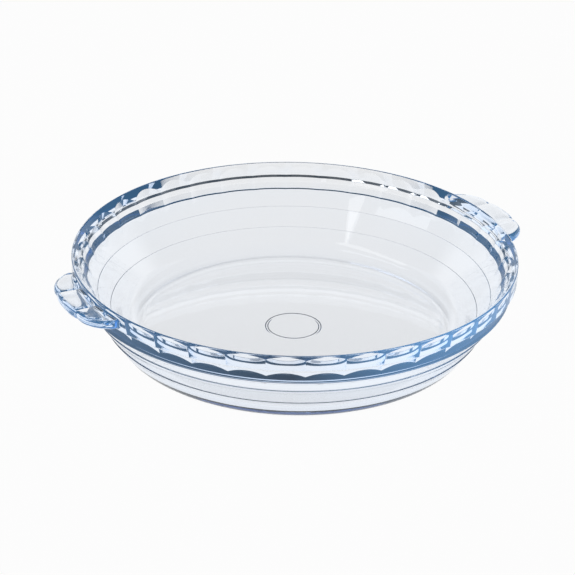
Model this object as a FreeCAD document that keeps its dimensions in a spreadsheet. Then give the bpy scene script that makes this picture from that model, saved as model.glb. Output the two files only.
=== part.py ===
import FreeCAD, Part
import math
import os
import Sketcher

# Pressed glass pie dish, in mm. Origin at the centre of the underside, +Z up, handles along X.
# The dish is one pressing; each solid below is one formed region of it, and they meet face to face.

DOC = FreeCAD.newDocument("pie_dish")
SHEET = DOC.addObject("Spreadsheet::Sheet", "sizes")

SIZES = [
    ("dish_height", 47.8, "underside to crest of the rim"),
    ("rim_radius", 115.0, "outer face of the rim collar"),
    ("base_radius", 89.4, "outer wall line carried down to the underside"),
    ("wall_inset", 5.25, "outer wall line inside the rim radius, at the neck"),
    ("wall_width", 6.75, "wall measured level"),
    ("wall_step", 0.48, "each step of the outer wall, which is thicker below it"),
    ("step_height", 14.05, "lower step line above the underside"),
    ("step_drop", 6.15, "upper step line below the neck"),
    ("floor_thickness", 5.0, "floor of the dish"),
    ("floor_blend", 7.45, "rounded corner of floor and wall, measured along each"),
    ("heel_fillet", 10.0, "outside corner of underside and wall"),
    ("mark_radius", 14.0, "plain ring pressed into the underside"),
    ("mark_width", 1.6, "width of that ring"),
    ("mark_depth", 0.5, "depth of that ring"),
    ("neck_flare", 0.85, "outer wall spreads this much up to the neck"),
    ("neck_drop", 1.61, "neck below the keel of the bead"),
    ("bead_swell", 0.92, "keel of the bead beyond the cove"),
    ("bead_fillet", 0.5, "keel of the bead"),
    ("skirt_height", 5.46, "skirt from the keel of the bead up to the cove"),
    ("cove_depth", 1.31, "cove inside the foot of the underface"),
    ("cove_drop", 2.07, "cove below the foot of the underface"),
    ("cove_fillet", 0.9, "round of the cove"),
    ("under_width", 2.5, "underface of the band, measured level"),
    ("under_drop", 0.5, "slope of that underface"),
    ("band_height", 7.96, "upright band from the underface to the crest"),
    ("crest_inset", 1.1, "inner edge of the crest inside the rim radius"),
    ("crest_fillet", 0.6, "round of both edges of the crest"),
    ("core_inset", 2.3, "inner side of the collar inside the rim radius"),
    ("core_drop", 1.08, "top of that side below the crest"),
    ("core_rise", 12.3, "foot of that side above the foot of the ribs"),
    ("rib_start", 2.0, "foot of the ribs above the neck"),
    ("flute_count", 36, "flutes round the inside of the rim"),
    ("flute_radius", 18.0, "round of each flute"),
    ("flute_floor", 0.4, "glass behind each flute at its top"),
    ("flute_rise", 2.6, "foot of each flute above the foot of the ribs"),
    ("rib_inset", 5.7, "top of the ribs inside the rim radius"),
    ("rib_drop", 4.14, "top of the ribs below the crest"),
    ("handle_reach", 13.7, "handle beyond the rim radius"),
    ("handle_angle", 28.8, "arc of the rim that a handle takes, degrees"),
    ("handle_drop", 1.9, "top of the handle below the crest"),
    ("handle_root", 5.6, "thickness of the handle at the collar"),
    ("handle_edge", 4.7, "thickness of the handle at its outer edge"),
    ("handle_nose", 2.1, "round of the handle's outer edge"),
    ("handle_side", 3.7, "straight side of the handle before its corner round"),
    ("lobe_angle", 10.0, "arc of one lobe of the handle, degrees"),
    ("notch_radius", 2.4, "round of the notch between two lobes"),
    ("notch_depth", 0.9, "depth of that notch"),
    ("crease_radius", 1.6, "round of the crease across the handle top"),
    ("crease_depth", 0.35, "depth of that crease"),
]

NAMES = [row[0] for row in SIZES]
for row, (alias, value, note) in enumerate(SIZES, start=1):
    SHEET.set(f"A{row}", alias)
    SHEET.set(f"B{row}", str(value))
    SHEET.set(f"C{row}", note)
    SHEET.setAlias(f"B{row}", alias)
DOC.recompute()


def bind(text):
    """Size names in an expression, written as cells of the sheet."""
    out = ""
    word = ""
    for ch in text + " ":
        if ch.isalnum() or ch == "_":
            word += ch
            continue
        out += f"sizes.{word}" if word in NAMES else word
        out += ch
        word = ""
    return out.strip()


# Heights and radii that several regions share, so that their faces meet at any size.
BAND_Z = "(dish_height - band_height)"
UNDER_Z = f"({BAND_Z} - under_drop)"
COVE_Z = f"({UNDER_Z} - cove_drop)"
BEAD_Z = f"({COVE_Z} - skirt_height)"
NECK_Z = f"({BEAD_Z} - neck_drop)"
STEP_HIGH = f"({NECK_Z} - step_drop)"
STEP_LOW = "step_height"
SLOPE = f"((rim_radius - wall_inset - base_radius) / {NECK_Z})"
NECK_R = "(rim_radius - wall_inset + neck_flare)"
UNDER_R = "(rim_radius - under_width)"
COVE_R = f"({UNDER_R} - cove_depth)"
BEAD_R = f"({COVE_R} + bead_swell)"
CORE_R = "(rim_radius - core_inset)"
CORE_Z = "(dish_height - core_drop)"
RIB_FOOT = f"({NECK_Z} + rib_start)"
CORE_FOOT = f"({RIB_FOOT} + core_rise)"
RIB_R = "(rim_radius - rib_inset)"
RIB_Z = "(dish_height - rib_drop)"


def outer(height):
    """Radius of the outer wall line at a height."""
    return f"(base_radius + {SLOPE} * {height})"


def inner(height):
    """Radius of the inner wall line at a height."""
    return f"({outer(height)} - wall_width)"


def plane(body, role):
    for feature in body.Origin.OriginFeatures:
        if feature.Role == role:
            return feature
    raise RuntimeError(role)


def new_body(label):
    body = DOC.addObject("PartDesign::Body", label)
    body.Label = label
    return body


def section(body, name, points):
    """Closed sketch on the XZ plane whose corners are (radius, height) expressions."""
    sketch = body.newObject("Sketcher::SketchObject", name)
    sketch.AttachmentSupport = [(plane(body, "XZ_Plane"), "")]
    sketch.MapMode = "FlatFace"
    exprs = [(bind(r), bind(z)) for r, z in points]
    at = []
    for r, z in exprs:
        at.append(FreeCAD.Vector(float(sketch.evalExpression(r)), float(sketch.evalExpression(z)), 0))
    count = len(at)
    for i in range(count):
        sketch.addGeometry(Part.LineSegment(at[i], at[(i + 1) % count]), False)
    for i in range(count):
        sketch.addConstraint(Sketcher.Constraint("Coincident", i, 2, (i + 1) % count, 1))
    for i in range(count):
        for kind, text, value, axis in (
            ("DistanceX", exprs[i][0], at[i].x, -2),
            ("DistanceY", exprs[i][1], at[i].y, -1),
        ):
            if text == "0":
                sketch.addConstraint(Sketcher.Constraint("PointOnObject", i, 1, axis))
                continue
            index = sketch.addConstraint(Sketcher.Constraint(kind, -1, 1, i, 1, value))
            sketch.setExpression(f"Constraints[{index}]", text)
    sketch.Visibility = False
    return sketch


def revolve(body, sketch, name, angle=None):
    turn = body.newObject("PartDesign::Revolution", name)
    turn.Profile = sketch
    turn.ReferenceAxis = (sketch, ["V_Axis"])
    turn.Angle = 360.0
    if angle is not None:
        turn.setExpression("Angle", bind(angle))
        turn.Midplane = True
    return turn


def ring_edges(feature, spots):
    """Names of the circular edges of a feature that pass through (radius, height) spots."""
    found = []
    wanted = []
    for r, z in spots:
        wanted.append((float(feature.evalExpression(bind(r))), float(feature.evalExpression(bind(z)))))
    for i, edge in enumerate(feature.Shape.Edges, start=1):
        if not isinstance(edge.Curve, Part.Circle):
            continue
        point = edge.Vertexes[0].Point
        radius = math.hypot(point.x, point.y)
        level = abs(edge.Curve.Axis.z) > 0.99
        if level and any(abs(radius - r) < 0.01 and abs(point.z - z) < 0.01 for r, z in wanted):
            found.append(f"Edge{i}")
    return found


def fillet(body, feature, name, edges, radius):
    rounded = body.newObject("PartDesign::Fillet", name)
    rounded.Base = (feature, edges)
    rounded.setExpression("Radius", bind(radius))
    return rounded


def cutter(body, name, radius, height, place):
    """Cylinder taken out of a body; place maps placement fields to expressions."""
    tool = body.newObject("PartDesign::SubtractiveCylinder", name)
    tool.AttachmentSupport = [(plane(body, "XY_Plane"), "")]
    tool.MapMode = "FlatFace"
    tool.AttachmentOffset = FreeCAD.Placement(
        FreeCAD.Vector(0, 0, 0), FreeCAD.Rotation(FreeCAD.Vector(0, 1, 0), 10)
    )
    tool.setExpression("Radius", bind(radius))
    tool.setExpression("Height", bind(height))
    for field, text in place.items():
        tool.setExpression(f"AttachmentOffset.{field}", bind(text))
    return tool


def repeat(body, features, name, angle, count):
    pattern = body.newObject("PartDesign::PolarPattern", name)
    pattern.Originals = features
    pattern.Axis = (plane(body, "Z_Axis"), [""])
    if angle == "360":
        pattern.Angle = 360.0
    else:
        pattern.setExpression("Angle", bind(angle))
    if count.isdigit():
        pattern.Occurrences = int(count)
    else:
        pattern.setExpression("Occurrences", bind(count))
    body.Tip = pattern
    return pattern


# Floor, rounded heel and lowest band of the wall, up to the lower step line.
base = new_body("base")
heel_r = f"({outer('0')} + 2 * wall_step)"
base_corner = inner("floor_thickness")
base_sketch = section(
    base,
    "base_section",
    [
        ("0", "0"),
        ("mark_radius - mark_width / 2", "0"),
        ("mark_radius - mark_width / 2", "mark_depth"),
        ("mark_radius + mark_width / 2", "mark_depth"),
        ("mark_radius + mark_width / 2", "0"),
        (heel_r, "0"),
        (f"{outer(STEP_LOW)} + 2 * wall_step", STEP_LOW),
        (inner(STEP_LOW), STEP_LOW),
        (base_corner, "floor_thickness"),
        ("0", "floor_thickness"),
    ],
)
base_turn = revolve(base, base_sketch, "base_turn")
DOC.recompute()
blend_r = f"floor_blend / tan((90 deg - atan({SLOPE})) / 2)"
corner_edges = ring_edges(base_turn, [(base_corner, "floor_thickness")])
base_in = fillet(base, base_turn, "base_inside", corner_edges, blend_r)
DOC.recompute()
base_out = fillet(base, base_in, "base_heel", ring_edges(base_in, [(heel_r, "0")]), "heel_fillet")
base.Tip = base_out

# Side wall with the upper step line, up to the neck under the bead.
wall = new_body("side_wall")
wall_sketch = section(
    wall,
    "wall_section",
    [
        (inner(STEP_LOW), STEP_LOW),
        (f"{outer(STEP_LOW)} + wall_step", STEP_LOW),
        (f"{outer(STEP_HIGH)} + wall_step", STEP_HIGH),
        (outer(STEP_HIGH), STEP_HIGH),
        (NECK_R, NECK_Z),
        (inner(NECK_Z), NECK_Z),
    ],
)
wall.Tip = revolve(wall, wall_sketch, "wall_turn")

# Rim collar: bead, skirt, cove and upright band up to the crest, whose inner bevel runs on over the ribs.
collar = new_body("rim_collar")
collar_sketch = section(
    collar,
    "collar_section",
    [
        (inner(NECK_Z), NECK_Z),
        (NECK_R, NECK_Z),
        (BEAD_R, BEAD_Z),
        (COVE_R, COVE_Z),
        (UNDER_R, UNDER_Z),
        ("rim_radius", BAND_Z),
        ("rim_radius", "dish_height"),
        ("rim_radius - crest_inset", "dish_height"),
        (CORE_R, CORE_Z),
        (CORE_R, CORE_FOOT),
        (inner(RIB_FOOT), RIB_FOOT),
    ],
)
collar_turn = revolve(collar, collar_sketch, "collar_turn")
DOC.recompute()
crest_spots = [("rim_radius", "dish_height"), ("rim_radius - crest_inset", "dish_height")]
crest_edges = ring_edges(collar_turn, crest_spots)
crest = fillet(collar, collar_turn, "crest", crest_edges, "crest_fillet")
DOC.recompute()
bead = fillet(collar, crest, "bead_round", ring_edges(crest, [(BEAD_R, BEAD_Z)]), "bead_fillet")
DOC.recompute()
cove = fillet(collar, bead, "cove_round", ring_edges(bead, [(COVE_R, COVE_Z)]), "cove_fillet")
collar.Tip = cove

# Fluted band inside the collar: ribs between leaning round flutes.
flutes = new_body("flute_band")
flute_sketch = section(
    flutes,
    "flute_section",
    [
        (inner(RIB_FOOT), RIB_FOOT),
        (CORE_R, CORE_FOOT),
        (CORE_R, CORE_Z),
        (RIB_R, RIB_Z),
    ],
)
flute_turn = revolve(flutes, flute_sketch, "flute_turn")
foot_z = f"({RIB_FOOT} + flute_rise)"
foot_r = f"({inner(RIB_FOOT)} + ({CORE_R} - {inner(RIB_FOOT)}) * flute_rise / core_rise)"
lean = f"atan(({CORE_R} - flute_floor - {foot_r}) / ({CORE_Z} - {foot_z}))"
flute_cut = cutter(
    flutes,
    "flute_cut",
    "flute_radius",
    "dish_height * 2",
    {
        "Base.x": f"{foot_r} - flute_radius * cos({lean}) - dish_height * sin({lean})",
        "Base.z": f"{foot_z} + flute_radius * sin({lean}) - dish_height * cos({lean})",
        "Rotation.Angle": lean,
    },
)
repeat(flutes, [flute_cut], "flute_ring", "360", "flute_count")


def make_handle(label, turn):
    """Lug handle with three lobes, on the collar's outer face at an angle round the rim."""
    body = new_body(label)
    top = "(dish_height - handle_drop)"
    root = f"({top} - handle_root)"
    nose = "(rim_radius + handle_reach)"
    sketch = section(
        body,
        f"{label}_section",
        [
            ("rim_radius", root),
            (nose, f"{top} - handle_edge"),
            (nose, top),
            ("rim_radius", top),
        ],
    )
    slab = revolve(body, sketch, f"{label}_slab", "handle_angle")
    DOC.recompute()
    reach = slab.evalExpression(bind(nose))
    corners = []
    for i, edge in enumerate(slab.Shape.Edges, start=1):
        if isinstance(edge.Curve, Part.Line):
            ends = [v.Point for v in edge.Vertexes]
            far = all(abs(math.hypot(p.x, p.y) - reach) < 0.01 for p in ends)
            if far:
                corners.append(f"Edge{i}")
    rounded = fillet(body, slab, f"{label}_corners", corners, "handle_reach - handle_side")
    DOC.recompute()
    rims = ring_edges(rounded, [(nose, f"{top} - handle_edge"), (nose, top)])
    edged = fillet(body, rounded, f"{label}_nose", rims, "handle_nose")
    DOC.recompute()
    notch = cutter(
        body,
        f"{label}_notch",
        "notch_radius",
        "dish_height",
        {
            "Base.x": f"({nose} + notch_radius - notch_depth) * cos(lobe_angle / 2)",
            "Base.y": f"-({nose} + notch_radius - notch_depth) * sin(lobe_angle / 2)",
            "Base.z": f"{root} - dish_height / 4",
            "Rotation.Angle": "0",
        },
    )
    repeat(body, [notch], f"{label}_notches", "lobe_angle", "2")
    DOC.recompute()
    crease = cutter(
        body,
        f"{label}_crease",
        "crease_radius",
        "handle_reach * 2",
        {
            "Base.x": "(rim_radius + 2) * cos(lobe_angle / 2)",
            "Base.y": "-(rim_radius + 2) * sin(lobe_angle / 2)",
            "Base.z": f"{top} + crease_radius - crease_depth",
            "Rotation.Axis.x": "sin(lobe_angle / 2)",
            "Rotation.Axis.y": "cos(lobe_angle / 2)",
            "Rotation.Angle": "90",
        },
    )
    repeat(body, [crease], f"{label}_creases", "lobe_angle", "2")
    body.Placement = FreeCAD.Placement(
        FreeCAD.Vector(0, 0, 0), FreeCAD.Rotation(FreeCAD.Vector(0, 0, 1), turn)
    )
    return body


right_handle = make_handle("right_handle", 0.0)
left_handle = make_handle("left_handle", 180.0)

DOC.recompute()

for item in DOC.Objects:
    bad = [state for state in item.State if state in ("Invalid", "Error")]
    if bad:
        raise RuntimeError(f"{item.Label}: {item.State}")

os.makedirs("parts", exist_ok=True)
for body in (base, wall, collar, flutes, right_handle, left_handle):
    shape = body.Shape
    if shape.isNull() or not shape.isValid():
        raise RuntimeError(f"{body.Label}: bad shape")
    print(body.Label, "solids", len(shape.Solids), "volume", round(shape.Volume, 1), shape.BoundBox)
    shape.exportStep(f"parts/{body.Label}.step")
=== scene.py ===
import math

import bpy
from bpy.props import FloatProperty, FloatVectorProperty, IntProperty, PointerProperty
from mathutils import Euler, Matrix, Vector


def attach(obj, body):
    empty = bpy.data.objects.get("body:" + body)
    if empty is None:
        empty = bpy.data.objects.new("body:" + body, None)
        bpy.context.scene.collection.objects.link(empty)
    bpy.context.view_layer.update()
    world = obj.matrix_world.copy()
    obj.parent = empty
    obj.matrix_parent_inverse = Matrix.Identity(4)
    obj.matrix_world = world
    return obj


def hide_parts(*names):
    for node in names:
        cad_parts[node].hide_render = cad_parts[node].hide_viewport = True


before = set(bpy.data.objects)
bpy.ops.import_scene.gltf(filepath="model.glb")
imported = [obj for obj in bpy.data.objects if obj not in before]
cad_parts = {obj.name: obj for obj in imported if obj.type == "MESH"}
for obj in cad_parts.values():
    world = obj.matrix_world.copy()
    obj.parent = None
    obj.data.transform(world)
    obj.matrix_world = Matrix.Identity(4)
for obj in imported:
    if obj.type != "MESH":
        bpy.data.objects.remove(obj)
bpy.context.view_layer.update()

bl_info = {
    "name": "Glass Pie Dish",
    "version": (1, 0, 0),
    "blender": (4, 5, 0),
    "location": "View3D > Sidebar > Pie Dish",
    "description": "Builds a pressed glass pie dish with a fluted rim and its studio",
    "category": "Object",
}

NODES = sorted(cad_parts)


def length(name, mm, text):
    """A size of the dish, given in millimetres and kept in metres."""
    return FloatProperty(name=name, description=text, default=mm / 1000, unit="LENGTH", precision=5)


def number(name, value, text):
    """A plain number: an angle in degrees, a share or a level."""
    return FloatProperty(name=name, description=text, default=value)


class PieDishSizes(bpy.types.PropertyGroup):
    """Sizes of the pressing."""

    height: length("Height", 47.8, "Underside to the crest of the rim")
    rim: length("Rim", 115.0, "Outer face of the rim collar, as a radius")
    foot: length("Foot", 89.4, "Outer wall line carried down to the underside, as a radius")
    wall_inset: length("Wall Inset", 3.9, "Outer wall line inside the rim, under the bead")
    wall_top: length("Wall Top", 32.2, "Height where the outer wall meets the bead")
    wall: length("Wall", 6.75, "Wall measured level")
    step: length("Step", 0.4, "Depth of each step of the outer wall, which is thicker below it")
    step_tilt: number("Step Tilt", 27.8, "Fall of the face of a step, in degrees")
    step_round: length("Step Round", 0.05, "Round of the edges of a step")
    step_low: length("Lower Line", 14.05, "Height of the lower line")
    step_high: length("Upper Line", 24.05, "Height of the upper line")
    floor: length("Floor", 5.0, "Thickness of the floor")
    corner: length("Floor Corner", 14, "Round between floor and side")
    heel: length("Heel", 11.5, "Round between underside and side")
    ring: length("Ring", 14.0, "Radius of the plain ring in the underside")
    ring_width: length("Ring Width", 1.6, "Width of that ring")
    ring_depth: length("Ring Depth", 0.5, "Depth of that ring")
    ring_round: length("Ring Round", 0.15, "Round of the edges of that ring")
    neck: length("Neck", 110.6, "Wall where it leaves the bead, as a radius")
    neck_high: length("Neck Height", 30.2, "Height of the neck")
    neck_round: length("Neck Round", 0.25, "Round of the neck")
    bead: length("Bead", 112.11, "Bead at the foot of the collar, as a radius")
    bead_high: length("Bead Height", 31.81, "Height of the edge of the bead")
    bead_round: length("Bead Round", 0.56, "Round of the bead")
    waist: length("Waist", 111.55, "Waist over the bead, as a radius")
    waist_high: length("Waist Height", 33.07, "Height of the waist")
    waist_round: length("Waist Round", 1.85, "Round of the waist")
    cove: length("Cove", 111.19, "Cove under the band, as a radius")
    cove_high: length("Cove Height", 37.27, "Height of the cove")
    cove_round: length("Cove Round", 0.99, "Round of the cove")
    under: length("Underside", 112.5, "Inner edge of the underside of the band, as a radius")
    under_high: length("Underside Height", 39.34, "Height of that edge")
    band_low: length("Band Foot", 39.84, "Height of the foot of the collar band")
    band_round: length("Band Round", 0.3, "Round of both edges of the underside of the band")
    crest_in: length("Crest Inside", 1.1, "Inner edge of the crest inside the rim")
    crest_round: length("Crest Round", 0.9, "Round of the crest")
    bevel_round: length("Bevel Round", 1.2, "Round between the crest and its inner bevel")
    flute_foot: length("Flute Foot", 34.8, "Height of the foot of each flute")
    flute_top_r: length("Flute Top Radius", 112.28, "Radius at the top of each flute")
    flute_top: length("Flute Top", 46.34, "Height of the top of each flute")
    rib_foot: length("Rib Foot", 32.2, "Height of the foot of each rib")
    rib_top_r: length("Rib Top Radius", 109.3, "Radius at the top of each rib")
    rib_top: length("Rib Top", 43.66, "Height of the top of each rib")
    lip_round: length("Lip Round", 0.4, "Round between the bevel and the flutes")
    crease_round: length("Crease Round", 0.9, "Round between the flutes and the wall")
    flute_power: number("Flute Form", 2.0, "Higher is flatter between ribs")
    flutes: IntProperty(name="Flutes", description="Flutes round the rim", default=36)
    grip_flutes: IntProperty(name="Grip Flutes", description="Flutes in the wedge of a handle", default=4)


class PieDishGrip(bpy.types.PropertyGroup):
    """Sizes of the lug handles."""

    reach: length("Reach", 13.7, "Handle beyond the rim")
    side_out: length("Side Out", 4.3, "Handle beyond the rim where its corner ends")
    side_in: length("Side In", 2.0, "Handle beyond the rim where its side starts to blend")
    seam: length("Seam", 0.2, "Collar face left over and under the handle")
    top: length("Top", 45.9, "Height of the top of the handle")
    root: length("Root", 5.6, "Thickness at the collar")
    edge: length("Edge", 4.7, "Thickness at the outer edge")
    nose: length("Nose", 2.1, "Round of the outer edge")
    notch: length("Notch", 0.9, "Depth of the notches between lobes")
    crease: length("Crease", 0.4, "Depth of the creases between lobes")
    fall: length("Fall", 0.9, "Set-back of the outer lobes")
    half_angle: number("Half Angle", 14.4, "Half the arc of a handle, in degrees")
    corner_angle: number("Corner Angle", 7.2, "Where the corners begin, in degrees")
    blend_angle: number("Blend Angle", 16.0, "Where the sides meet the collar, in degrees")


class PieDishGlass(bpy.types.PropertyGroup):
    """Finish of the glass, and the glow painted into it."""

    tint: FloatVectorProperty(
        name="Tint", description="Colour left after a long way through the glass",
        subtype="COLOR", size=3, min=0, max=1, default=(0.1, 0.45, 0.95),
    )
    density: number("Density", 10.0, "Absorption per metre")
    ior: number("Index", 1.5, "Index of refraction")
    ripple: number("Ripple", 0.02, "Strength of the faint waves of the pressed faces")
    ripple_scale: number("Ripple Scale", 45.0, "Waves of that ripple, higher is finer")
    haze: number("Haze", 0.012, "Most roughness of the faces")
    haze_scale: number("Haze Scale", 18.0, "Patches of that haze, higher is finer")
    # Painted glow: an emission colour put into the glass so that it shines blue from inside, with no lamp
    # behind it.
    glow: FloatVectorProperty(
        name="Guided Light", description="Light that the glass guides along itself, per metre",
        subtype="COLOR", size=3, min=0, soft_max=10, default=(0.75, 1.85, 3.2),
    )


class PieDishStudio(bpy.types.PropertyGroup):
    """Floor, light and camera."""

    camera_at: FloatVectorProperty(
        name="Camera", description="Place of the camera", subtype="TRANSLATION", size=3,
        default=(-0.449414, -0.832563, 0.503694),
    )
    camera_turn: FloatVectorProperty(
        name="Camera Turn", description="Turn of the camera", subtype="EULER", size=3,
        default=(math.radians(63.19743), math.radians(-1.12673), math.radians(-27.57867)),
    )
    lens: number("Lens", 127.2566, "Focal length in millimetres")
    window_at: FloatVectorProperty(
        name="Window", description="Place of the soft lamp whose reflection shows on the right inside wall",
        subtype="TRANSLATION", size=3, default=(-0.61, 0.086, 0.788),
    )
    window_wide: length("Window Width", 800, "Width of that lamp")
    window_high: length("Window Height", 180, "Height of that lamp")
    window_watts: number("Window Power", 0.8, "Power of that lamp in watts")
    dark: number("Dark", 0.06, "Level of the dark studio overhead")
    white_to: number("White To", 0.24, "Sine of the elevation up to which the studio is white")
    dark_from: number("Dark From", 0.36, "Sine of the elevation from which it is dark")
    far_rise: number("Far Rise", 0.17, "How much higher the white reaches on the far side")
    floor_glow: number("Floor Glow", 0.97, "Share of the floor that is plain white")
    through_glow: number("Glow Through", 0.88, "The same share, seen through glass")


def smooth(t):
    t = min(1.0, max(0.0, t))
    return t * t * (3 - 2 * t)


def mix(a, b, t):
    return a + (b - a) * t


SUPPORT = 0.0003
NOSE_ROWS = 10
FLAT_SHARES = (0.04, 0.3, 0.55, 0.8)
GRIP_ROWS = NOSE_ROWS + 2 * len(FLAT_SHARES)
LOBE = 10.0


def rounded(corners):
    """Section line from (radius, height, round, steps, cuts) corners.

    Each corner is an arc of its round in that many steps; cuts divide the run up to the corner. A run
    also has a row close to each of its ends, so that smooth shading stays flat along it.
    """
    last = len(corners) - 1
    arcs = []
    for i, (r, z, radius, steps, _) in enumerate(corners):
        here = Vector((r, z))
        if i in (0, last) or radius <= 0:
            arcs.append([here])
            continue
        back = Vector(corners[i - 1][:2]) - here
        ahead = Vector(corners[i + 1][:2]) - here
        u = back.normalized()
        v = ahead.normalized()
        angle = math.acos(max(-1.0, min(1.0, u.dot(v))))
        reach = radius / math.tan(angle / 2)
        for way, other in ((back, corners[i - 1]), (ahead, corners[i + 1])):
            reach = min(reach, (0.48 if other[2] > 0 else 0.9) * way.length)
        radius = reach * math.tan(angle / 2)
        middle = here + (u + v).normalized() * radius / math.sin(angle / 2)
        start = here + u * reach - middle
        stop = here + v * reach - middle
        turn = math.atan2(start.x * stop.y - start.y * stop.x, start.dot(stop))
        points = []
        for s in range(steps + 1):
            t = turn * s / steps
            points.append(middle + Vector((
                start.x * math.cos(t) - start.y * math.sin(t),
                start.x * math.sin(t) + start.y * math.cos(t),
            )))
        arcs.append(points)
    line = list(arcs[0])
    for i in range(1, len(arcs)):
        a = line[-1]
        b = arcs[i][0]
        cuts = corners[i][4]
        share = min(0.3 / max(1, cuts), SUPPORT / max(SUPPORT, (b - a).length))
        places = [share] + [c / cuts for c in range(1, cuts)] + [1 - share]
        if cuts:
            line.extend(a.lerp(b, t) for t in places)
        line.extend(arcs[i])
    return [(p.x, p.y) for p in line]


def section(d, g, x):
    """Section of the dish in metres where x is 0 at a flute's middle and 1 at a rib.

    Returns the line from floor to outer face, the levels of the handle, and the line down to the underside.
    """
    slope = (d.rim - d.wall_inset - d.foot) / d.wall_top
    flute = x ** d.flute_power

    def outer(z):
        return d.foot + slope * z

    def inner(z):
        return outer(z) - d.wall

    def step_line(z, steps):
        """Step out of the wall, which is thicker below it."""
        r = outer(z) + steps * tier
        return [
            (r, z, d.step_round, 1, 1),
            (r + step_out, z - step_down, d.step_round, 1, 1),
        ]

    step_out = d.step * math.cos(math.radians(d.step_tilt))
    step_down = d.step * math.sin(math.radians(d.step_tilt))
    tier = step_out + slope * step_down
    crease_z = mix(d.flute_foot, d.rib_foot, flute)
    crest_r = d.rim - d.crest_in
    lip_r = mix(d.flute_top_r, d.rib_top_r, flute)
    lip_z = mix(d.flute_top, d.rib_top, flute)
    grip_low = g.top - g.root
    inside = rounded([
        (0.0, d.floor, 0, 0, 0),
        (inner(d.floor), d.floor, d.corner, 9, 2),
        (inner(crease_z), crease_z, d.crease_round, 3, 3),
        (lip_r, lip_z, d.lip_round, 4, 5),
        (crest_r, d.height, d.bevel_round, 6, 2),
        (d.rim, d.height, d.crest_round, 7, 0),
        (d.rim, g.top + g.seam, 0, 0, 1),
    ])
    levels = []
    for i in range(GRIP_ROWS):
        z = mix(g.top, grip_low, i / (GRIP_ROWS - 1))
        levels.append((d.rim, z))
    outside = rounded([
        (d.rim, grip_low - g.seam, 0, 0, 0),
        (d.rim, d.band_low, d.band_round, 2, 1),
        (d.under, d.under_high, d.band_round, 2, 1),
        (d.cove, d.cove_high, d.cove_round, 4, 1),
        (d.waist, d.waist_high, d.waist_round, 3, 1),
        (d.bead, d.bead_high, d.bead_round, 3, 1),
        (d.neck, d.neck_high, d.neck_round, 2, 1),
        *step_line(d.step_high, 0),
        *step_line(d.step_low, 1),
        (outer(0) + 2 * tier, 0.0, d.heel, 8, 2),
        (d.ring + d.ring_width / 2, 0.0, d.ring_round, 1, 2),
        (d.ring + d.ring_width / 4, d.ring_depth, d.ring_round, 1, 1),
        (d.ring - d.ring_width / 4, d.ring_depth, d.ring_round, 1, 1),
        (d.ring - d.ring_width / 2, 0.0, d.ring_round, 1, 1),
        (0.0, 0.0, 0, 0, 2),
    ])
    return inside, levels, outside


def polar(r, degrees):
    a = math.radians(degrees)
    return Vector((r * math.cos(a), r * math.sin(a)))


def column_points(line, degrees):
    """Points of a section line, turned to a place round the rim."""
    return [polar(r, degrees).to_3d() + Vector((0, 0, z)) for r, z in line]


def lobe_share(degrees):
    """Place across a lobe of the handle: 0 at its middle and 1 at the notch beside it."""
    return abs((degrees + LOBE / 2) % LOBE - LOBE / 2) / (LOBE / 2)


def bend(start, pull, stop, t):
    """Place on a curve from start to stop that leans towards pull."""
    return start * (1 - t) ** 2 + pull * 2 * t * (1 - t) + stop * t * t


def grip_outline(d, g, degrees):
    """Plan point of the handle's outer edge for a column of the collar, or None beside the handle."""
    side = 1 if degrees >= 0 else -1
    a = abs(degrees)
    if a >= g.blend_angle:
        return None
    out = d.rim + g.reach
    turn = g.corner_angle + 0.2
    if a <= turn:
        r = out - g.notch * lobe_share(a) ** 4 - g.fall * smooth(a - LOBE / 2)
        return polar(r, side * a * g.corner_angle / turn)
    shoulder = g.half_angle - 0.9
    hip = g.half_angle - 0.1
    side_out = polar(d.rim + g.side_out, side * g.half_angle)
    side_in = polar(d.rim + g.side_in, side * (g.half_angle + 0.1))
    if a <= shoulder:
        start = polar(out - g.fall, side * g.corner_angle)
        pull = polar(out - 1.4 * g.fall, side * (g.half_angle - 2.8))
        return bend(start, pull, side_out, (a - turn) / (shoulder - turn))
    if a <= hip:
        return side_out.lerp(side_in, (a - shoulder) / (hip - shoulder))
    pull = polar(d.rim + g.seam, side * (g.half_angle + 0.2))
    return bend(side_in, pull, polar(d.rim, side * g.blend_angle), (a - hip) / (g.blend_angle - hip))


def grip_points(d, g, degrees, levels):
    """Points of the handle's own rows for one column, from its top root round the edge to its bottom root."""
    plain = column_points(levels, degrees)
    edge = grip_outline(d, g, degrees)
    if edge is None:
        return plain
    root = polar(d.rim, degrees)
    way = edge - root
    reach = way.length
    if reach < 1e-6:
        return plain
    way /= reach
    weight = smooth(reach / 0.0025)
    nose = min(g.nose, 0.9 * reach)
    top = g.top - g.crease * lobe_share(abs(degrees)) ** 6
    low = g.top - g.edge
    middle = (top + low) / 2
    half = (top - low) / 2
    flat = reach - nose
    points = []
    for share in FLAT_SHARES:
        points.append((flat * share, top))
    for i in range(NOSE_ROWS):
        t = math.radians(90 - 180 * i / (NOSE_ROWS - 1))
        points.append((flat + nose * math.cos(t), middle + half * math.sin(t)))
    base = g.top - g.root
    for share in reversed(FLAT_SHARES):
        points.append((flat * share, mix(base, low, share)))
    made = []
    for (out, z), still in zip(points, plain):
        at = root + way * out
        spot = Vector((at.x, at.y, z))
        made.append(still.lerp(spot, weight))
    return made


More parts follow.
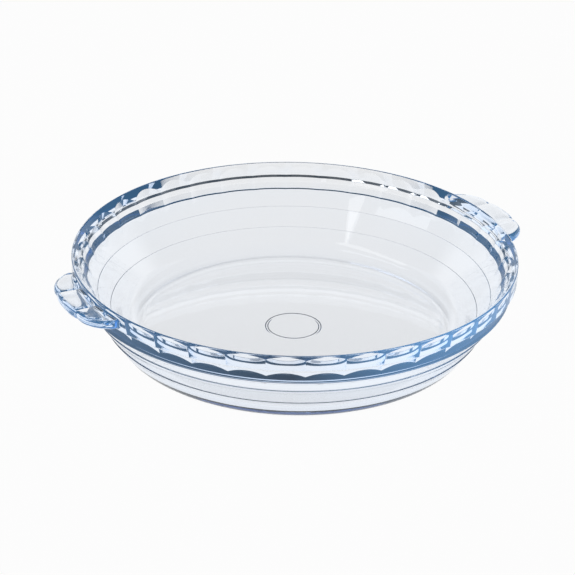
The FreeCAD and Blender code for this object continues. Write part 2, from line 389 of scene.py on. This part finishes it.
def wedge_mesh(name, d, g, columns, with_grip):
    """Mesh of a slice of the dish; columns are (angle, flute place) pairs."""
    verts = []
    faces = []
    rows = 0
    top_pole = bottom_pole = None
    for degrees, x in columns:
        inside, levels, outside = section(d, g, x)
        line = column_points(inside[1:], degrees)
        line += grip_points(d, g, degrees, levels) if with_grip else column_points(levels, degrees)
        line += column_points(outside[:-1], degrees)
        rows = len(line)
        verts.extend(line)
        top_pole = (0.0, 0.0, inside[0][1])
        bottom_pole = (0.0, 0.0, outside[-1][1])
    count = len(columns)
    verts.append(top_pole)
    verts.append(bottom_pole)
    up = count * rows
    down = up + 1
    for j in range(count - 1):
        a = j * rows
        b = a + rows
        faces.append((up, a, b))
        for i in range(rows - 1):
            faces.append((a + i, a + i + 1, b + i + 1, b + i))
        faces.append((a + rows - 1, down, b + rows - 1))
    mesh = bpy.data.meshes.new(name)
    mesh.from_pydata(verts, [], faces)
    mesh.update()
    return mesh


HALF_PITCH = (0.0, 0.02, 0.06, 0.12, 0.2, 0.3, 0.44, 0.62, 0.8, 1.0)


def pitch_columns(pitch, first_rib, ribs):
    """Columns from one flute's middle to another, closer together at each rib between."""
    shares = [-s for s in reversed(HALF_PITCH)] + list(HALF_PITCH[1:])
    columns = []
    for n in range(ribs):
        rib = first_rib + n * pitch
        for s in shares if n == 0 else shares[1:]:
            columns.append((rib + s * pitch / 2, 1 - abs(s)))
    return columns


def math_node(tree, operation, *values):
    node = tree.nodes.new("ShaderNodeMath")
    node.operation = operation
    for socket, value in enumerate(values):
        if isinstance(value, (int, float)):
            node.inputs[socket].default_value = value
        else:
            tree.links.new(value, node.inputs[socket])
    return node.outputs[0]


def ring_tree():
    """Geometry nodes that set slices of a dish round its axis and weld them into one pressing."""
    tree = bpy.data.node_groups.new("Dish Ring", "GeometryNodeTree")
    face = tree.interface
    face.new_socket("Geometry", in_out="INPUT", socket_type="NodeSocketGeometry")
    face.new_socket("Grip Slice", in_out="INPUT", socket_type="NodeSocketObject")
    face.new_socket("Flutes", in_out="INPUT", socket_type="NodeSocketInt")
    face.new_socket("Grips", in_out="INPUT", socket_type="NodeSocketInt")
    face.new_socket("Grip Flutes", in_out="INPUT", socket_type="NodeSocketInt")
    face.new_socket("Weld", in_out="INPUT", socket_type="NodeSocketFloat")
    face.new_socket("Glass", in_out="INPUT", socket_type="NodeSocketMaterial")
    face.new_socket("Geometry", in_out="OUTPUT", socket_type="NodeSocketGeometry")
    nodes = tree.nodes
    links = tree.links
    start = nodes.new("NodeGroupInput")
    stop = nodes.new("NodeGroupOutput")
    index = nodes.new("GeometryNodeInputIndex").outputs[0]
    pitch = math_node(tree, "DIVIDE", 2 * math.pi, start.outputs["Flutes"])
    per_side = math_node(tree, "DIVIDE", start.outputs["Flutes"], start.outputs["Grips"])
    plain = math_node(tree, "SUBTRACT", per_side, start.outputs["Grip Flutes"])
    total = math_node(tree, "MULTIPLY", plain, start.outputs["Grips"])

    def turned(count, geometry, angle):
        points = nodes.new("GeometryNodePoints")
        links.new(count, points.inputs["Count"])
        spin = nodes.new("ShaderNodeCombineXYZ")
        links.new(angle, spin.inputs["Z"])
        copies = nodes.new("GeometryNodeInstanceOnPoints")
        links.new(points.outputs[0], copies.inputs["Points"])
        links.new(geometry, copies.inputs["Instance"])
        links.new(spin.outputs[0], copies.inputs["Rotation"])
        return copies.outputs[0]

    side = math_node(tree, "FLOOR", math_node(tree, "DIVIDE", math_node(tree, "ADD", index, 0.5), plain))
    skipped = math_node(tree, "MULTIPLY", math_node(tree, "ADD", side, 0.5), start.outputs["Grip Flutes"])
    place = math_node(tree, "ADD", math_node(tree, "ADD", index, 0.5), skipped)
    slices = turned(total, start.outputs["Geometry"], math_node(tree, "MULTIPLY", place, pitch))
    grip = nodes.new("GeometryNodeObjectInfo")
    links.new(start.outputs["Grip Slice"], grip.inputs["Object"])
    half_turn = math_node(tree, "DIVIDE", 2 * math.pi, start.outputs["Grips"])
    grip_angle = math_node(tree, "MULTIPLY", index, half_turn)
    grips = turned(start.outputs["Grips"], grip.outputs["Geometry"], grip_angle)
    join = nodes.new("GeometryNodeJoinGeometry")
    links.new(slices, join.inputs[0])
    links.new(grips, join.inputs[0])
    real = nodes.new("GeometryNodeRealizeInstances")
    links.new(join.outputs[0], real.inputs[0])
    weld = nodes.new("GeometryNodeMergeByDistance")
    links.new(real.outputs[0], weld.inputs["Geometry"])
    links.new(start.outputs["Weld"], weld.inputs["Distance"])
    shade = nodes.new("GeometryNodeSetShadeSmooth")
    links.new(weld.outputs[0], shade.inputs["Geometry"])
    paint = nodes.new("GeometryNodeSetMaterial")
    links.new(shade.outputs[0], paint.inputs["Geometry"])
    links.new(start.outputs["Glass"], paint.inputs["Material"])
    links.new(paint.outputs[0], stop.inputs[0])
    return tree


def set_inputs(modifier, values):
    """Sets a modifier's named inputs by their identifiers."""
    for item in modifier.node_group.interface.items_tree:
        if item.item_type == "SOCKET" and item.in_out == "INPUT" and item.name in values:
            modifier[item.identifier] = values[item.name]


# Level directions as the photo's camera sees them: to the right, towards it and away from it.
RIGHT_WAY = (0.88, -0.475, 0)
NEAR_WAY = (-0.475, -0.88, 0)
FAR_WAY = (0.475, 0.88, 0)

# Painted glow inside the glass, which no lamp gives: its level at the middle, what each side of the dish adds
# to it, and the heights over which it rises.
PAINTED_GLOW_BASE = 0.7
PAINTED_GLOW_SIDES = 0.6
PAINTED_GLOW_FAR_SIDES = 1.6
PAINTED_GLOW_RIGHT = 0.3
PAINTED_GLOW_NEAR_RIGHT = 6.0
PAINTED_GLOW_NEAR_LEFT = 1.6
PAINTED_GLOW_RISE = (("From Min", 0.004), ("From Max", 0.03), ("To Min", 0.2), ("To Max", 1.0))


def share_along(tree, vector, way, span):
    """How far a place lies along a direction, as a share of a span."""
    node = tree.nodes.new("ShaderNodeVectorMath")
    node.operation = "DOT_PRODUCT"
    node.inputs[1].default_value = tuple(v / span for v in way)
    tree.links.new(vector, node.inputs[0])
    return node.outputs["Value"]


def positive(tree, value, sign=1.0):
    """The part of a value above zero, or below it where the sign is -1."""
    return math_node(tree, "MAXIMUM", math_node(tree, "MULTIPLY", value, sign), 0.0)


def painted_glow_strength(tree, place, rim):
    """Strength of the glow painted into the glass, which no lamp gives: set by side, and more towards the
    rim.
    """
    # Painted light by side: the glow is raised on the far sides, the near right and the near left as the
    # camera sees the dish.
    right = share_along(tree, place, RIGHT_WAY, rim)
    near = share_along(tree, place, NEAR_WAY, rim)
    far_gain = math_node(tree, "MULTIPLY_ADD", positive(tree, near, -1.0), PAINTED_GLOW_FAR_SIDES, PAINTED_GLOW_SIDES)
    side = math_node(tree, "MULTIPLY_ADD", math_node(tree, "MULTIPLY", right, right), far_gain, PAINTED_GLOW_BASE)
    near_gain = math_node(tree, "MULTIPLY_ADD", positive(tree, near), PAINTED_GLOW_NEAR_RIGHT, PAINTED_GLOW_RIGHT)
    side = math_node(tree, "MULTIPLY_ADD", positive(tree, right), near_gain, side)
    left = math_node(tree, "MULTIPLY", positive(tree, right, -1.0), positive(tree, near))
    side = math_node(tree, "MULTIPLY_ADD", left, PAINTED_GLOW_NEAR_LEFT, side)
    axes = tree.nodes.new("ShaderNodeSeparateXYZ")
    tree.links.new(place, axes.inputs[0])
    rise = tree.nodes.new("ShaderNodeMapRange")
    rise.interpolation_type = "SMOOTHSTEP"
    for key, value in PAINTED_GLOW_RISE:
        rise.inputs[key].default_value = value
    tree.links.new(axes.outputs["Z"], rise.inputs["Value"])
    return math_node(tree, "MULTIPLY", side, rise.outputs[0])


def glass_material(p, rim):
    """Clear pressed glass: a faint ripple, little haze, a blue tint on long ways and a faint glow painted
    inside it.
    """
    material = bpy.data.materials.new("pressed_glass")
    material.use_nodes = True
    tree = material.node_tree
    shader = tree.nodes["Principled BSDF"]
    shader.inputs["Base Color"].default_value = (1, 1, 1, 1)
    shader.inputs["IOR"].default_value = p.ior
    shader.inputs["Transmission Weight"].default_value = 1.0
    body = tree.nodes.new("ShaderNodeVolumeAbsorption")
    body.inputs["Color"].default_value = (*p.tint, 1)
    body.inputs["Density"].default_value = p.density
    # Painted glow: volume emission with no density, so that the glass shines blue from inside though no lamp
    # lights it.
    painted_glow = tree.nodes.new("ShaderNodeVolumePrincipled")
    painted_glow.inputs["Density"].default_value = 0.0
    painted_glow.inputs["Emission Color"].default_value = (*p.glow, 1)
    coords = tree.nodes.new("ShaderNodeTexCoord")
    ripple = tree.nodes.new("ShaderNodeTexNoise")
    ripple.inputs["Scale"].default_value = p.ripple_scale
    ripple.inputs["Detail"].default_value = 1.0
    tree.links.new(coords.outputs["Object"], ripple.inputs["Vector"])
    wave = tree.nodes.new("ShaderNodeBump")
    wave.inputs["Strength"].default_value = p.ripple
    wave.inputs["Distance"].default_value = 0.001
    tree.links.new(ripple.outputs[0], wave.inputs["Height"])
    tree.links.new(wave.outputs[0], shader.inputs["Normal"])
    haze = tree.nodes.new("ShaderNodeTexNoise")
    haze.inputs["Scale"].default_value = p.haze_scale
    tree.links.new(coords.outputs["Object"], haze.inputs["Vector"])
    tree.links.new(math_node(tree, "MULTIPLY", haze.outputs[0], p.haze), shader.inputs["Roughness"])
    strength = painted_glow_strength(tree, coords.outputs["Object"], rim)
    tree.links.new(strength, painted_glow.inputs["Emission Strength"])
    both = tree.nodes.new("ShaderNodeAddShader")
    tree.links.new(body.outputs[0], both.inputs[0])
    tree.links.new(painted_glow.outputs[0], both.inputs[1])
    tree.links.new(both.outputs[0], tree.nodes["Material Output"].inputs["Volume"])
    return material


def floor_material(p):
    """White floor that shows as plain white to the eye and through glass, and keeps a soft shadow."""
    material = bpy.data.materials.new("white_floor")
    material.use_nodes = True
    tree = material.node_tree
    paint = tree.nodes["Principled BSDF"]
    paint.inputs["Base Color"].default_value = (0.9, 0.9, 0.9, 1)
    paint.inputs["Roughness"].default_value = 0.9
    glow = tree.nodes.new("ShaderNodeEmission")
    path = tree.nodes.new("ShaderNodeLightPath")
    through = math_node(tree, "MAXIMUM", path.outputs["Is Glossy Ray"], path.outputs["Is Transmission Ray"])
    through = math_node(tree, "MULTIPLY", through, p.through_glow)
    direct = math_node(tree, "MULTIPLY", path.outputs["Is Camera Ray"], p.floor_glow)
    blend = tree.nodes.new("ShaderNodeMixShader")
    tree.links.new(math_node(tree, "MAXIMUM", direct, through), blend.inputs[0])
    tree.links.new(paint.outputs[0], blend.inputs[1])
    tree.links.new(glow.outputs[0], blend.inputs[2])
    tree.links.new(blend.outputs[0], tree.nodes["Material Output"].inputs["Surface"])
    return material


def studio_world(p):
    """White low down and dark overhead, with the white reaching higher on the far side."""
    world = bpy.data.worlds.new("studio")
    world.use_nodes = True
    tree = world.node_tree
    place = tree.nodes.new("ShaderNodeTexCoord").outputs["Generated"]
    parts = tree.nodes.new("ShaderNodeSeparateXYZ")
    tree.links.new(place, parts.inputs[0])
    ramp = tree.nodes.new("ShaderNodeValToRGB")
    behind = positive(tree, share_along(tree, place, FAR_WAY, 1.0))
    tree.links.new(math_node(tree, "MULTIPLY_ADD", behind, -p.far_rise, parts.outputs["Z"]), ramp.inputs[0])
    bands = ramp.color_ramp
    bands.elements[0].position = 0.0
    bands.elements[0].color = (1, 1, 1, 1)
    bands.elements[1].position = p.white_to
    bands.elements[1].color = (1, 1, 1, 1)
    band = bands.elements.new(p.dark_from)
    band.color = (p.dark, p.dark, p.dark, 1)
    tree.links.new(ramp.outputs[0], tree.nodes["Background"].inputs["Color"])
    return world


class PIEDISH_OT_pressing(bpy.types.Operator):
    """Builds the whole dish as one glass pressing from slices set round its axis"""

    bl_idname = "object.pie_dish_pressing"
    bl_label = "Glass Pressing"

    def execute(self, context):
        scene = context.scene
        d = scene.pie_dish_sizes
        g = scene.pie_dish_grip
        pitch = 360 / d.flutes
        slice_mesh = wedge_mesh("dish_slice", d, g, pitch_columns(pitch, 0.0, 1), False)
        first = -(d.grip_flutes - 1) / 2 * pitch
        grip_mesh = wedge_mesh("dish_grip_slice", d, g, pitch_columns(pitch, first, d.grip_flutes), True)
        glass = glass_material(scene.pie_dish_glass, d.rim)
        dish = bpy.data.objects.new("glass_pressing", slice_mesh)
        grip = bpy.data.objects.new("grip_slice", grip_mesh)
        scene.collection.objects.link(dish)
        ring = dish.modifiers.new("Ring", "NODES")
        ring.node_group = ring_tree()
        set_inputs(ring, {
            "Grip Slice": grip,
            "Flutes": d.flutes,
            "Grips": 2,
            "Grip Flutes": d.grip_flutes,
            "Weld": 1e-6,
            "Glass": glass,
        })
        context.view_layer.update()
        whole = bpy.data.meshes.new_from_object(dish.evaluated_get(context.evaluated_depsgraph_get()))
        dish.modifiers.remove(ring)
        dish.data = whole
        whole.name = "glass_pressing"
        bpy.data.meshes.remove(slice_mesh)
        bpy.data.objects.remove(grip)
        bpy.data.meshes.remove(grip_mesh)
        if not whole.polygons:
            raise RuntimeError("the pressing has no faces")
        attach(dish, "root")
        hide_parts(*NODES)
        return {"FINISHED"}


class PIEDISH_OT_studio(bpy.types.Operator):
    """Sets the white floor, the light round the dish and the camera"""

    bl_idname = "object.pie_dish_studio"
    bl_label = "Studio"

    def execute(self, context):
        scene = context.scene
        p = scene.pie_dish_studio
        mesh = bpy.data.meshes.new("studio_floor")
        half = 3.0
        low = -0.0002
        corners = [(-half, -half, low), (half, -half, low), (half, half, low), (-half, half, low)]
        mesh.from_pydata(corners, [], [(0, 1, 2, 3)])
        mesh.materials.append(floor_material(p))
        floor = bpy.data.objects.new("studio_floor", mesh)
        scene.collection.objects.link(floor)
        scene.world = studio_world(p)
        self.softbox(scene, "window", p.window_at, p.window_wide, p.window_high, p.window_watts)
        camera = bpy.data.cameras.new("photo_camera")
        camera.sensor_width = 36
        camera.lens = p.lens
        eye = bpy.data.objects.new("photo_camera", camera)
        eye.location = p.camera_at
        eye.rotation_euler = Euler(p.camera_turn, "XYZ")
        scene.collection.objects.link(eye)
        scene.camera = eye
        scene.view_settings.view_transform = "Standard"
        scene.cycles.max_bounces = 48
        scene.cycles.transmission_bounces = 48
        return {"FINISHED"}

    def softbox(self, scene, name, at, wide, high, watts):
        lamp = bpy.data.lights.new(name, "AREA")
        lamp.shape = "RECTANGLE"
        lamp.size = wide
        lamp.size_y = high
        lamp.energy = watts
        box = bpy.data.objects.new(name, lamp)
        box.location = at
        box.rotation_euler = (-Vector(at)).to_track_quat("-Z", "Y").to_euler()
        scene.collection.objects.link(box)


class PIEDISH_PT_panel(bpy.types.Panel):
    bl_idname = "PIEDISH_PT_panel"
    bl_label = "Pie Dish"
    bl_space_type = "VIEW_3D"
    bl_region_type = "UI"
    bl_category = "Pie Dish"

    def draw(self, context):
        column = self.layout.column()
        column.operator("object.pie_dish_pressing")
        column.operator("object.pie_dish_studio")
        for group in ("pie_dish_sizes", "pie_dish_grip", "pie_dish_glass", "pie_dish_studio"):
            props = getattr(context.scene, group)
            for name in props.__annotations__:
                column.prop(props, name)


CLASSES = (
    PieDishSizes,
    PieDishGrip,
    PieDishGlass,
    PieDishStudio,
    PIEDISH_OT_pressing,
    PIEDISH_OT_studio,
    PIEDISH_PT_panel,
)


def register():
    for item in CLASSES:
        bpy.utils.register_class(item)
    bpy.types.Scene.pie_dish_sizes = PointerProperty(type=PieDishSizes)
    bpy.types.Scene.pie_dish_grip = PointerProperty(type=PieDishGrip)
    bpy.types.Scene.pie_dish_glass = PointerProperty(type=PieDishGlass)
    bpy.types.Scene.pie_dish_studio = PointerProperty(type=PieDishStudio)


def unregister():
    for name in ("pie_dish_sizes", "pie_dish_grip", "pie_dish_glass", "pie_dish_studio"):
        delattr(bpy.types.Scene, name)
    for item in reversed(CLASSES):
        bpy.utils.unregister_class(item)


def main():
    register()
    bpy.ops.object.pie_dish_pressing()
    bpy.ops.object.pie_dish_studio()


if __name__ == "__main__":
    main()
